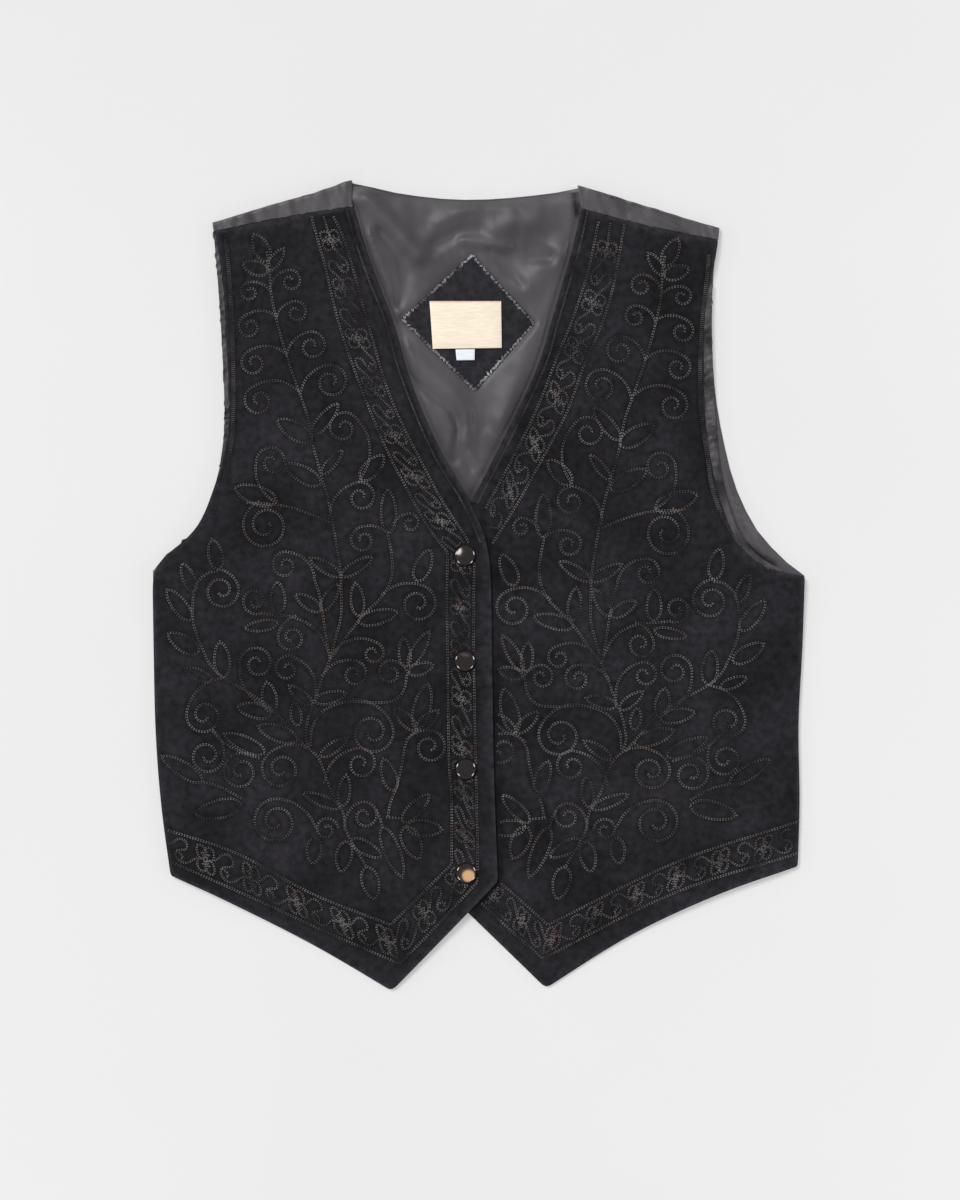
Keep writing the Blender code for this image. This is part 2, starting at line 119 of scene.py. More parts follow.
# Floor: the pale sheet of a light table, just under the cloth, which has no edge in view.
# A little light comes up through it and keeps the shadows round the vest faint.
FLOOR_HALF = 4.0
FLOOR_DROP = 0.2 * MM
FLOOR_GLOW = 0.362
mesh = bmesh.new()
bmesh.ops.create_grid(mesh, x_segments=8, y_segments=8, size=FLOOR_HALF)
bmesh.ops.translate(mesh, verts=mesh.verts, vec=(0.0, 0.0, -FLOOR_DROP))
floor_data = bpy.data.meshes.new("floor")
mesh.to_mesh(floor_data)
mesh.free()
floor = bpy.data.objects.new("floor", floor_data)
bpy.context.scene.collection.objects.link(floor)
floor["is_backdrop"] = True


def new_group(name, inputs, outputs):
    """An empty node group with its sockets, and the sockets to read from and to feed inside it."""
    group = bpy.data.node_groups.new(name, "ShaderNodeTree")
    for socket, kind, value in inputs:
        group.interface.new_socket(socket, in_out="INPUT", socket_type=kind).default_value = value
    for socket, kind in outputs:
        group.interface.new_socket(socket, in_out="OUTPUT", socket_type=kind)
    return group, group.nodes.new("NodeGroupInput").outputs, group.nodes.new("NodeGroupOutput").inputs


def group_noise(group, inside):
    """Noise on Object coordinates, with its scale, detail and stretch from the group's inputs."""
    place = group.nodes.new("ShaderNodeTexCoord")
    stretched = group.nodes.new("ShaderNodeVectorMath")
    stretched.operation = "MULTIPLY"
    speckle = group.nodes.new("ShaderNodeTexNoise")
    group.links.new(place.outputs["Object"], stretched.inputs[0])
    group.links.new(inside["Stretch"], stretched.inputs[1])
    group.links.new(stretched.outputs["Vector"], speckle.inputs["Vector"])
    group.links.new(inside["Scale"], speckle.inputs["Scale"])
    group.links.new(inside["Detail"], speckle.inputs["Detail"])
    return speckle.outputs["Fac"]


NOISE_INPUTS = [("Scale", "NodeSocketFloat", 10.0), ("Detail", "NodeSocketFloat", 3.0),
                ("Stretch", "NodeSocketVector", (1.0, 1.0, 1.0))]

# Mottle: a colour that drifts between two tones, and how far it has drifted
mottle, inside, outside = new_group("mottle", NOISE_INPUTS + [
    ("From", "NodeSocketFloat", 0.3), ("To", "NodeSocketFloat", 0.7),
    ("Dark", "NodeSocketColor", (0.0, 0.0, 0.0, 1.0)), ("Light", "NodeSocketColor", (1.0, 1.0, 1.0, 1.0)),
], [("Color", "NodeSocketColor"), ("Mask", "NodeSocketFloat")])
drift = mottle.nodes.new("ShaderNodeMapRange")
drifted = mottle.nodes.new("ShaderNodeMix")
drifted.data_type = "RGBA"
mottle.links.new(group_noise(mottle, inside), drift.inputs["Value"])
mottle.links.new(inside["From"], drift.inputs["From Min"])
mottle.links.new(inside["To"], drift.inputs["From Max"])
mottle.links.new(drift.outputs["Result"], drifted.inputs["Factor"])
mottle.links.new(inside["Dark"], drifted.inputs["A"])
mottle.links.new(inside["Light"], drifted.inputs["B"])
mottle.links.new(drifted.outputs["Result"], outside["Color"])
mottle.links.new(drift.outputs["Result"], outside["Mask"])

# Grain: the normal of a surface with a fine raised nap, weave or rib
grain, inside, outside = new_group("grain", NOISE_INPUTS + [
    ("Depth", "NodeSocketFloat", 0.0001), ("Strength", "NodeSocketFloat", 0.5),
], [("Normal", "NodeSocketVector")])
raised = grain.nodes.new("ShaderNodeBump")
grain.links.new(group_noise(grain, inside), raised.inputs["Height"])
grain.links.new(inside["Depth"], raised.inputs["Distance"])
grain.links.new(inside["Strength"], raised.inputs["Strength"])
grain.links.new(raised.outputs["Normal"], outside["Normal"])


def new_material(name, rough):
    """A material whose shader has one roughness, with its node tree and shader."""
    material = bpy.data.materials.new(name)
    material.use_nodes = True
    shader = material.node_tree.nodes["Principled BSDF"]
    shader.inputs["Roughness"].default_value = rough
    return material, material.node_tree, shader


def placed(tree, group, **values):
    """The outputs of a node group placed in a material with its own values."""
    node = tree.nodes.new("ShaderNodeGroup")
    node.node_tree = group
    for socket, value in values.items():
        node.inputs[socket].default_value = value
    return node.outputs


def times(tree, colour, factor):
    """One colour multiplied by another."""
    product = tree.nodes.new("ShaderNodeMix")
    product.data_type = "RGBA"
    product.blend_type = "MULTIPLY"
    product.inputs["Factor"].default_value = 1.0
    tree.links.new(colour, product.inputs["A"])
    tree.links.new(factor, product.inputs["B"])
    return product.outputs["Result"]


def grey(value):
    """A grey as a colour."""
    return (value, value, value, 1.0)


def shade(tone, factor):
    """A tone made darker or lighter, as a colour."""
    return (*(value * factor for value in tone), 1.0)


light_table, tree, shader = new_material("light_table_sheet", 0.9)
tone = placed(tree, mottle, Scale=3.0, Dark=grey(0.42), Light=grey(0.435))["Color"]
tree.links.new(tone, shader.inputs["Base Color"])
shader.inputs["Emission Color"].default_value = grey(1.0)
shader.inputs["Emission Strength"].default_value = FLOOR_GLOW
floor.data.materials.append(light_table)

# Fronts: two panels of black suede, lined, with turned edges all round.
# The right front laps over the left and is held by four press studs.
SUEDE_WALL = 1.8 * MM
FRONT_CUTS = 7
SHARP_CORNER = math.radians(42.0)
BLUNT_PASSES = 2
RIM_REACH = 4.2 * MM
WELD = 1e-5
# A face of a panel's upper side leans less than this: the height of its normal
UPPER_NORMAL = 0.3


def rounded_outline(mesh, passes, blunt):
    """Ease the outline's shallow corners in so many passes, and all of them in so many more."""
    ends = {vert: [edge.other_vert(vert) for edge in vert.link_edges if edge.is_boundary]
            for vert in mesh.verts if vert.is_boundary}
    soft = [vert for vert, (one, other) in ends.items()
            if (vert.co - one.co).angle(other.co - vert.co) < SHARP_CORNER]
    for verts in [soft] * passes + [list(ends)] * blunt:
        eased = {vert: vert.co * 0.5 + (ends[vert][0].co + ends[vert][1].co) * 0.25 for vert in verts}
        for vert, place in eased.items():
            vert.co = place


def upper_side(node, cuts, blunt=0):
    """A copy of a panel's upper side with its triangles paired, divided finely and its folds softened."""
    mesh = bmesh.new()
    mesh.from_mesh(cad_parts[node].data)
    bmesh.ops.remove_doubles(mesh, verts=mesh.verts, dist=WELD)
    mesh.normal_update()
    under = [face for face in mesh.faces if face.normal.z < UPPER_NORMAL]
    bmesh.ops.delete(mesh, geom=under, context="FACES")
    bmesh.ops.join_triangles(mesh, faces=mesh.faces, angle_face_threshold=math.pi,
                             angle_shape_threshold=math.pi)
    bmesh.ops.subdivide_edges(mesh, edges=mesh.edges, cuts=cuts, use_grid_fill=True)
    rounded_outline(mesh, cuts * cuts // 2, blunt)
    inner = [vert for vert in mesh.verts if not vert.is_boundary]
    for _ in range(3 * cuts):
        bmesh.ops.smooth_vert(mesh, verts=inner, factor=0.5, use_axis_x=True, use_axis_y=True,
                              use_axis_z=True)
    mesh.normal_update()
    return mesh


def mark_rim(mesh, reach):
    """Write how near each point is to the panel's edge, 1 at the edge, to the attribute rim."""
    rim = [vert for vert in mesh.verts if vert.is_boundary]
    tree = KDTree(len(rim))
    for i, vert in enumerate(rim):
        tree.insert(vert.co, i)
    tree.balance()
    layer = mesh.verts.layers.float.new("rim")
    for vert in mesh.verts:
        away = min(tree.find(vert.co)[2] / reach, 1.0)
        vert[layer] = 1.0 - away * away * (3.0 - 2.0 * away)


def smooth_piece(name, data, material):
    """A named piece in one material, shaded smooth, that goes where the vest goes."""
    data.materials.append(material)
    data.polygons.foreach_set("use_smooth", [True] * len(data.polygons))
    piece = bpy.data.objects.new(name, data)
    bpy.context.scene.collection.objects.link(piece)
    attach(piece, "root")
    return piece


def cloth_piece(name, mesh, material, wall, rounding):
    """A named piece of cloth: the sheet, its wall downwards and a soft bevel round the rim."""
    data = bpy.data.meshes.new(name)
    mesh.to_mesh(data)
    piece = smooth_piece(name, data, material)
    solid = piece.modifiers.new("wall", "SOLIDIFY")
    solid.thickness = wall
    solid.offset = -1.0
    rounded = piece.modifiers.new("rounding", "BEVEL")
    rounded.width = rounding
    rounded.segments = 2
    rounded.limit_method = "ANGLE"
    rounded.angle_limit = math.radians(50.0)
    return piece


def marked(tree, name):
    """How strongly each point of the mesh is marked in one of its attributes."""
    mark = tree.nodes.new("ShaderNodeAttribute")
    mark.attribute_name = name
    return mark.outputs["Fac"]


def laid_over(tree, mask, under, over):
    """A colour with a plain one over it where the mask says."""
    blend = tree.nodes.new("ShaderNodeMix")
    blend.data_type = "RGBA"
    tree.links.new(mask, blend.inputs["Factor"])
    tree.links.new(under, blend.inputs["A"])
    blend.inputs["B"].default_value = over
    return blend.outputs["Result"]


def suede_material(name, tone, pale):
    """Brushed suede: a fine nap, cloudy brushing marks, a paler turned edge that is partly wear and partly
    painted highlight, and painted shade along the stitch rows and beside the lap.
    """
    material, tree, shader = new_material(name, 0.92)
    brushed = placed(tree, mottle, Scale=16.0, Detail=9.0, From=0.36, To=0.66,
                     Dark=shade(tone, 0.62), Light=shade(tone, 1.5))["Color"]
    # The turned edge is paler where the attribute rim says: partly wear, partly painted highlight where its
    # fold catches the light.
    worn_and_lit_edge = laid_over(tree, marked(tree, "rim"), brushed, (*pale, 1.0))
    tufts = placed(tree, mottle, Scale=190.0, Detail=7.0, Dark=grey(0.54), Light=grey(1.48))["Color"]
    # Painted shade: darker along the stitch rows, and painted shadow beside the lap, where the fronts'
    # attribute says.
    painted_shade_mix = tree.nodes.new("ShaderNodeMix")
    painted_shade_mix.data_type = "RGBA"
    tree.links.new(marked(tree, "pucker_and_lap_shade"), painted_shade_mix.inputs["Factor"])
    painted_shade_mix.inputs["A"].default_value = grey(1.0)
    painted_shade_mix.inputs["B"].default_value = grey(0.42)
    colour = times(tree, times(tree, worn_and_lit_edge, tufts), painted_shade_mix.outputs["Result"])
    tree.links.new(colour, shader.inputs["Base Color"])
    nap = placed(tree, grain, Scale=1100.0, Detail=5.0, Depth=0.25 * MM, Strength=0.25)["Normal"]
    tree.links.new(nap, shader.inputs["Normal"])
    shader.inputs["Specular IOR Level"].default_value = 0.12
    shader.inputs["Sheen Weight"].default_value = 0.10
    shader.inputs["Sheen Roughness"].default_value = 0.5
    return material


# The second tone is the turned edge's paler tone, partly wear and partly painted highlight.
suede = suede_material("black_suede", (0.0125, 0.0115, 0.0145), (0.0240, 0.0224, 0.0272))
fronts = {}
skins = {}
for node in ("front_right", "front_left"):
    mesh = upper_side(node, FRONT_CUTS, BLUNT_PASSES)
    mark_rim(mesh, RIM_REACH)
    skins[node] = BVHTree.FromBMesh(mesh)
    piece = cloth_piece("suede_" + node, mesh, suede, SUEDE_WALL, 0.5 * MM)
    mesh.free()
    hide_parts(node)
    fronts[node] = piece

# Embroidery: chain stitch in brown-grey thread, sewn through the suede before the fronts were lined.
# Each link is two short legs side by side, so that a row reads as two dotted lines.
STITCH_PITCH = 2.15 * MM
LEG_LENGTH = 1.90 * MM
LEG_WIDTH = 0.95 * MM
LEG_HEIGHT = 0.75 * MM
LEG_SPREAD = 0.55 * MM
LEG_SPLAY = 0.20
# A scroll's turns grow with its radius, and it curls in from its outer to its inner share of that radius
FEWEST_TURNS = 0.80
TURNS_PER_MM = 0.055
OUTER_SHARE = 1.12
INNER_SHARE = 0.20
CURL_POWER = 1.3
BOW_POWER = 2.2
BOW_TURN = 0.7
SNAP_PLACES = [(-10.8, 23.0), (-10.8, -58.0), (-10.2, -141.0), (-9.8, -221.0)]
SNAP_CLEAR = 9.0
# The lap's edge, inside which the left front is hidden: y, x from the hem up
LAP_EDGE = [(-320.0, -60.0), (-227.0, 17.0), (-146.0, 14.0), (-57.0, 12.5), (8.0, 11.5), (35.0, 8.5),
            (65.0, -7.5)]
lap_y, lap_x = zip(*LAP_EDGE)


def link():
    """One chain stitch: two slim legs, splayed from the tail to the head."""
    mesh = bmesh.new()
    for side in (-1.0, 1.0):
        leg = bmesh.ops.create_uvsphere(mesh, u_segments=4, v_segments=2, radius=0.5)["verts"]
        bmesh.ops.scale(mesh, verts=leg, vec=(LEG_WIDTH, LEG_HEIGHT, LEG_LENGTH))
        bmesh.ops.rotate(mesh, verts=leg, matrix=Matrix.Rotation(math.pi / 2.0, 3, "Y"))
        bmesh.ops.rotate(mesh, verts=leg, matrix=Matrix.Rotation(side * LEG_SPLAY, 3, "Z"))
        bmesh.ops.translate(mesh, verts=leg, vec=(0.0, side * LEG_SPREAD, 0.0))
    bmesh.ops.recalc_face_normals(mesh, faces=mesh.faces)
    points = np.array([vert.co for vert in mesh.verts])
    faces = np.array([[vert.index for vert in face.verts] for face in mesh.faces])
    mesh.free()
    return points, faces


def flowing(stops, step=0.8):
    """A smooth line through stops, with a point at every step; both in millimetres."""
    stops = np.array(stops, float)
    ahead = np.vstack([2.0 * stops[0] - stops[1], stops, 2.0 * stops[-1] - stops[-2]])
    line = []
    for before, start, end, after in zip(ahead, ahead[1:], ahead[2:], ahead[3:]):
        count = max(int(np.hypot(*(end - start)) / step), 2)
        t = np.linspace(0.0, 1.0, count, endpoint=False)[:, None]
        bend = 2.0 * before - 5.0 * start + 4.0 * end - after
        swing = 3.0 * start - before - 3.0 * end + after
        line.append(0.5 * (2.0 * start + (end - before) * t + bend * t ** 2 + swing * t ** 3))
    return np.vstack(line + [stops[-1:]])


def scroll(start, centre, radius, hand):
    """A stem that bows out from its start and curls into a scroll, clockwise (cw) or the other way (ccw)."""
    turns = FEWEST_TURNS + TURNS_PER_MM * radius
    start, centre = np.array(start, float), np.array(centre, float)
    away = np.hypot(*(start - centre))
    way = -1.0 if hand == "cw" else 1.0
    first = math.atan2(*(start - centre)[::-1])
    arrival = math.acos(min(radius / away, 1.0)) + BOW_TURN
    turned = np.linspace(0.0, arrival + turns * math.tau, int(turns * 18) + 8)
    bowed = np.clip(1.0 - turned / arrival, 0.0, 1.0) ** BOW_POWER
    curled = np.clip(turned - arrival, 0.0, None) / (turns * math.tau)
    share = OUTER_SHARE - (OUTER_SHARE - INNER_SHARE) * curled ** CURL_POWER
    reach = max(away - radius, 0.0) * bowed + min(radius, away) * share
    angles = first + way * turned
    return flowing(centre + reach[:, None] * np.stack([np.cos(angles), np.sin(angles)], axis=1))


def leaf(base, tip, width, fullness=0.6):
    """The outline of a leaf, from its base round the tip and back; rounder as fullness falls."""
    base, tip = np.array(base, float), np.array(tip, float)
    along = tip - base
    across = np.array([-along[1], along[0]]) / np.hypot(*along)
    t = np.linspace(0.0, 1.0, 9)
    belly = width / 2.0 * np.sin(np.pi * t ** 0.85) ** fullness
    out = base + t[:, None] * along + belly[:, None] * across
    home = base + t[::-1, None] * along - belly[::-1, None] * across
    return np.vstack([flowing(out), flowing(home)])


def hidden_stitch(x, y, node):
    """Under a snap cap on the right front, or under the lap on the left one."""
    if node == "front_right":
        return any(math.hypot(x - cap_x, y - cap_y) < SNAP_CLEAR for cap_x, cap_y in SNAP_PLACES)
    return node == "front_left" and y < lap_y[-1] and x < np.interp(y, lap_y, lap_x)


sewn_spots = {}


def sew(name, lines, node, material, size=1.0, whole=False):
    """Chain stitches along lines in millimetres, set on the cloth; whole gives each line one stitch."""
    skin = skins[node]
    pitch = STITCH_PITCH * size / MM
    places = []
    for line in lines:
        steps = np.hypot(*np.diff(line, axis=0).T)
        run = np.concatenate([[0.0], np.cumsum(steps)])
        count = 1 if whole else max(int(run[-1] / pitch), 1)
        marks = (np.arange(count) + 0.5) * run[-1] / count
        spots = np.stack([np.interp(marks, run, line[:, axis]) for axis in (0, 1)], axis=1)
        ahead = np.stack([np.interp(marks + 0.3, run, line[:, axis]) for axis in (0, 1)], axis=1)
        behind = np.stack([np.interp(marks - 0.3, run, line[:, axis]) for axis in (0, 1)], axis=1)
        for (x, y), (along_x, along_y) in zip(spots, ahead - behind):
            if hidden_stitch(x, y, node):
                continue
            hit, normal, _, _ = skin.ray_cast(Vector((x * MM, y * MM, 0.05)), Vector((0.0, 0.0, -1.0)))
            if hit is None:
                continue
            along = Vector((along_x, along_y, 0.0)).normalized()
            across = normal.cross(along).normalized()
            along = across.cross(normal) * (run[-1] / count / pitch)
            places.append([*along, *across, *normal, *hit])
    places = np.array(places).reshape(-1, 4, 3)
    sewn_spots.setdefault(node, []).extend(places[:, 3])
    points, faces = link()
    points = points * np.array([size, size, math.sqrt(size)])
    verts = np.einsum("pk,nkj->npj", points, places[:, :3]) + places[:, 3:4]
    faces = faces[None] + (np.arange(len(places)) * len(points))[:, None, None]
    data = bpy.data.meshes.new(name)
    data.from_pydata(verts.reshape(-1, 3), [], faces.reshape(-1, faces.shape[-1]))
    piece = smooth_piece(name, data, material)
    return piece


def thread_material(name, dark, light, rust):
    """Dull thread, faded in places and rusty in others, each stitch a little lighter or darker."""
    material, tree, shader = new_material(name, 0.75)
    faded = placed(tree, mottle, Scale=48.0, Detail=4.0, From=0.36, To=0.64,
                   Dark=(*dark, 1.0), Light=(*light, 1.0))["Color"]
    stained = placed(tree, mottle, Scale=110.0, Detail=2.0, From=0.56, To=0.74)["Mask"]
    rusty = laid_over(tree, stained, faded, (*rust, 1.0))
    twist = placed(tree, mottle, Scale=620.0, Detail=2.0, Dark=grey(0.55), Light=grey(1.4))["Color"]
    tree.links.new(times(tree, rusty, twist), shader.inputs["Base Color"])
    shader.inputs["Specular IOR Level"].default_value = 0.25
    return material


thread = thread_material("embroidery_thread", (0.045, 0.042, 0.044), (0.215, 0.202, 0.202),
                         (0.15, 0.088, 0.080))

# Vines: stems that branch, curl into scrolls and carry pointed leaves, over each front.
# The left front repeats the right one mirrored.
STEMS = [
    [(-163, 257), (-161, 245), (-160, 227), (-156, 206), (-148, 177), (-139, 151), (-132, 131), (-128, 110),
     (-121, 84), (-115, 62), (-107, 16), (-106, 1), (-106, -23), (-110, -40), (-114.5, -57)],
    [(-114.5, -57), (-119, -68), (-125, -85), (-130, -98), (-133, -113), (-131, -125)],
    [(-131, -125), (-123, -133), (-118, -146), (-112, -161), (-105, -173), (-102, -188), (-98.6, -196),
     (-92, -207), (-86.5, -216)],
    [(-114.5, 48), (-130, 55), (-149, 61), (-168, 63), (-179, 63.5)],
    [(-114.5, -57), (-102, -40), (-89, -23), (-74, -8), (-67, 7), (-67, 23), (-70, 39)],
    [(-114.5, -57), (-119, -29), (-122, -10), (-127, 7)],
    [(-115.5, -51), (-122, -38), (-132, -29), (-145, -24), (-156, -23), (-168, -21)],
    [(-129.5, -124), (-128, -109), (-119, -96), (-102, -89.5), (-84, -90), (-67, -89), (-58, -81),
     (-55, -68)],
    [(-132, -125.5), (-142, -114), (-153, -101), (-166, -89.5), (-181, -80), (-196, -71), (-206, -61.5),
     (-213, -47.5), (-219, -31), (-220, -14), (-217, 1), (-209, 9), (-200, 11)],
    [(-48, -111), (-56, -121), (-59, -137), (-63, -154), (-68, -167), (-70, -178)],
    [(-205, -112), (-197, -120), (-183, -128), (-168, -133)],
    [(-212, -151), (-198, -155), (-182, -164)],
    [(-72, -178), (-65, -178.5), (-58, -179)],
    [(-79, -172), (-76, -179), (-74.4, -185.2)],
]
# columns: start, centre, radius, hand
SCROLLS = [
    ((-160, 229), (-145, 234), 7.6, "cw"), ((-160, 225), (-176, 225.5), 6.7, "ccw"),
    ((-155, 206), (-140.5, 210), 7.6, "cw"), ((-155, 206), (-176, 199), 8.0, "ccw"),
    ((-147, 176), (-128.5, 184), 9.9, "cw"), ((-148, 177), (-173, 171), 8.8, "ccw"),
    ((-136, 147), (-114, 156.5), 11.7, "cw"), ((-139, 149), (-169, 142), 10.3, "ccw"),
    ((-93, 80), (-104, 121), 11.0, "ccw"), ((-155, 64), (-159, 95), 10.6, "cw"),
    ((-114, 51), (-91, 68), 10.3, "cw"), ((-168, 63), (-164, 46), 15.3, "ccw"),
    ((-66, 45), (-53, 48), 6.5, "cw"), ((-70, 39), (-89, 35), 8.8, "ccw"),
    ((-74, -8), (-47, -14), 12.7, "cw"), ((-127, 7), (-149, 15.5), 9.3, "ccw"),
    ((-168, -21), (-172, -12), 8.4, "cw"), ((-140, -24), (-144, -40), 9.3, "ccw"),
    ((-126, -85), (-147, -64), 9.0, "ccw"), ((-114, -55), (-81.5, -52), 7.8, "cw"),
    ((-120, -70), (-96, -68), 9.0, "cw"), ((-55, -68), (-68, -67), 8.4, "ccw"),
    ((-97, -89), (-82, -113), 14.6, "cw"), ((-118, -152), (-91, -137), 10.8, "cw"),
    ((-55, -119), (-38, -124), 11.2, "cw"), ((-102, -187.5), (-88, -177), 9.7, "cw"),
    ((-127, -186), (-156, -181.5), 15.7, "ccw"), ((-109, -187), (-117, -187.5), 7.8, "ccw"),
    ((-132, -125.5), (-152, -141), 13.4, "ccw"), ((-171.5, -133), (-183, -143), 12.3, "ccw"),
    ((-205, -112), (-209, -131), 11.6, "cw"), ((-196, -72), (-211, -100), 12.3, "ccw"),
    ((-200, 11), (-198, -4), 12.1, "cw"), ((-162, -93), (-170.5, -60), 11.6, "cw"),
]
# columns: base, tip, width
LEAVES = [
    ((-162, 249), (-173, 270), 11.5), ((-162, 241), (-181.5, 247), 10.6), ((-162, 242), (-150, 259), 8.0),
    ((-128.5, 115), (-108, 140), 9.7), ((-128, 111), (-155, 127), 13.0), ((-91, 81), (-73, 100), 12.0),
    ((-121, 85), (-105, 104), 7.0), ((-121, 77.5), (-149, 93), 12.0), ((-155, 64), (-188, 75), 14.0),
    ((-69, 40), (-70, 74), 11.6), ((-48, 3), (-37.5, 27.5), 12.0), ((-93, -28), (-62, -20.5), 11.0),
    ((-92, -24), (-95, 2), 10.0), ((-106, 7), (-130, 21), 8.4), ((-106, 7), (-81.5, 22), 8.4),
    ((-121, -19.5), (-141, -7), 9.0), ((-121, -19.5), (-108, 1), 9.0), ((-154, -22), (-155, 3), 11.0),
    ((-154, -29), (-180, -33), 8.0), ((-126, -89), (-102, -83), 9.0), ((-128, -92), (-146, -77), 8.0),
    ((-139, -108), (-142, -90), 8.0), ((-139, -119), (-170, -108), 12.0), ((-56, -63), (-58, -40), 9.0),
    ((-54, -62.5), (-38, -35), 9.0), ((-54, -67), (-35, -61), 9.0), ((-122, -131.5), (-100.5, -117), 8.0),
    ((-48, -111), (-39, -75.5), 13.0), ((-48, -111), (-65.5, -94), 9.0), ((-48, -111), (-31, -96), 9.0),
    ((-65, -158), (-73.5, -133), 11.0), ((-59, -182), (-38, -160), 10.0), ((-56, -185), (-28, -187.5), 12.0),
    ((-57, -185), (-46, -210), 14.0), ((-106.5, -171), (-135, -159.5), 8.0),
    ((-105, -170), (-102, -145.5), 9.0), ((-182, -168), (-218, -176), 14.0),
    ((-212, -151), (-244, -131), 11.0), ((-164, -129), (-196, -114), 11.0),
    ((-159, -98), (-163, -74), 11.0), ((-159, -99), (-186, -93), 11.0), ((-200, 12), (-205, 35.5), 11.0),
    ((-218.5, -5), (-228, 17), 9.0), ((-221, -27), (-240, -3), 11.0), ((-215, -52), (-239, -37), 12.0),
    ((-205, -73), (-226, -64), 8.0), ((-196, -71), (-199, -43), 12.0),
    ((-125.7, -193.7), (-127.6, -214.1), 11.0), ((-101.5, -196.4), (-106.1, -220.3), 12.0),
    ((-86.5, -216), (-80, -241.2), 13.0), ((-74.4, -185.2), (-58.5, -224.4), 12.0),
    ((-98.6, -195.5), (-74.4, -208.5), 10.0),
]
MIRROR_X = -20.0


def mirrored(line):
    """A line of the right front as it comes on the left one, which lies a little lower."""
    x, y = MIRROR_X - line[:, 0], line[:, 1]
    rise = np.clip((y + 200.0) / 120.0, 0.0, 1.0)
    outer = np.clip((x - 80.0) / 120.0, 0.0, 1.0)
    return np.stack([x, y - 3.5 * rise - 5.0 * outer * np.exp(-(y / 90.0) ** 2)], axis=1)


vines = [flowing(stem) for stem in STEMS]
vines += [scroll(*row) for row in SCROLLS]
vines += [leaf(*row) for row in LEAVES]
right_vines = sew("vines_right", vines, "front_right", thread)
left_vines = sew("vines_left", [mirrored(line) for line in vines], "front_left", thread)

# Border: a band of flowers and small scrolls between two rows of chain stitch, along neck, front and hem.
# It is sewn in the vines' thread, the flowers and scrolls with smaller stitches than the rows.
# columns: each run of the band has its outer row, its inner row and the length of plain stem it starts with
BAND_RUNS = {
    "right": [
        ([(-112, 284), (-102, 261), (-84, 197), (-67, 142), (-37, 81), (-22, 55), (-10, 37), (-3.5, 20)],
         [(-129, 284), (-119, 248), (-105.5, 194), (-84, 135), (-67, 96), (-59, 81), (-41, 48), (-24, 25)],
         15.0),
        ([(-3.5, 20), (-4, -11), (-4, -57), (-2, -157.5), (-1, -204), (-1.5, -228)],
         [(-24, 25), (-24.6, -11), (-24, -57), (-23, -134), (-21, -165), (-21, -214)], 0.0),
        ([(-1.5, -228), (-31, -260), (-61, -291)], [(-21, -214), (-45, -238), (-68, -261)], 0.0),
        ([(-61, -291), (-112, -269), (-181, -237), (-238, -212)],
         [(-68, -261), (-127, -237.5), (-186, -206), (-239.5, -188)], 0.0),
    ],
    "left": [
        ([(92, 280), (84, 242), (71, 202), (61, 178), (45, 137), (26, 98), (5, 59)],
         [(112, 278), (103, 229), (93, 197), (80, 167), (67, 132), (48, 96), (26, 57), (10, 32)], 15.0),
        ([(1.5, -244), (24, -265), (49, -287)], [(13.5, -226), (33, -243), (53, -261)], 0.0),
        ([(49, -287), (151, -236), (245, -206)], [(53, -261), (151, -213), (247, -181)], 0.0),
    ],
}
REPEAT = 37.0
BAND_WIDTH = 21.0
ROW_GAP = 1.5
# One repeat of the band: a four-petalled flower and the S-shaped scroll that leads on from it,
# in millimetres along the band and across it from its middle
# columns: base, tip, width
PETALS = [((7.0, 0.6), (12.6, 7.2), 7.8), ((6.0, 0.6), (0.4, 7.2), 7.8), ((7.0, -0.6), (12.6, -7.2), 7.8),
          ((6.0, -0.6), (0.4, -7.2), 7.8)]
PETAL_FULLNESS = 0.5
SCROLL_STEM = [(13.0, -0.4), (17.0, -3.0), (22.0, -6.4), (27.4, -7.4), (31.4, -5.2), (31.0, -1.6),
               (26.6, 0.4), (22.4, 2.0), (21.4, 5.4), (24.6, 7.6), (29.2, 6.6), (33.4, 3.2), (37.0, 0.6)]
SCROLL_CURL = [(31.0, -1.6), (27.4, -2.2), (25.4, -4.4), (27.6, -5.4)]


def beside(line, distance):
    """A line moved sideways, to the left of its run where the distance is above 0."""
    run = np.gradient(line, axis=0)
    run = run / np.hypot(*run.T)[:, None]
    return line + distance * np.stack([-run[:, 1], run[:, 0]], axis=1)


band_unit = [flowing(SCROLL_STEM), flowing(SCROLL_CURL)]
for base, tip, width in PETALS:
    base, tip = np.array(base), np.array(tip)
    band_unit += [leaf(base, tip, width, PETAL_FULLNESS), np.stack([base, base + (tip - base) * 0.5])]
BORDER_STITCH = 0.86
borders = {"front_right": [], "front_left": []}
for side, runs in BAND_RUNS.items():
    rows, motifs = [], []
    for outer_stops, inner_stops, lead in runs:
        outer, inner = flowing(outer_stops), flowing(inner_stops)
        rows += [outer, inner]
        length = np.hypot(*np.diff(outer, axis=0).T).sum()
        count = max(round((length - lead) / REPEAT), 1)
        units = [np.array([[0.0, -1.0], [lead + 4.0, 0.0]]) / (length, 1.0)] if lead else []
        for k in range(count):
            for line in band_unit:
                share = (lead + (length - lead) * (k + line[:, 0] / REPEAT) / count) / length
                units.append(np.stack([share, line[:, 1]], axis=1))
        for line in units:
            ends = []
            for edge in (outer, inner):
                marks = np.linspace(0.0, 1.0, len(edge))
                places = [np.interp(line[:, 0], marks, edge[:, axis]) for axis in (0, 1)]
                ends.append(np.stack(places, axis=1))
            across = 0.5 + line[:, 1:] / BAND_WIDTH
            motifs.append(ends[0] * (1.0 - across) + ends[1] * across)
    borders["front_" + side] += [sew("band_" + side, motifs, "front_" + side, thread, BORDER_STITCH),
                                 sew("band_rows_" + side, rows, "front_" + side, thread)]

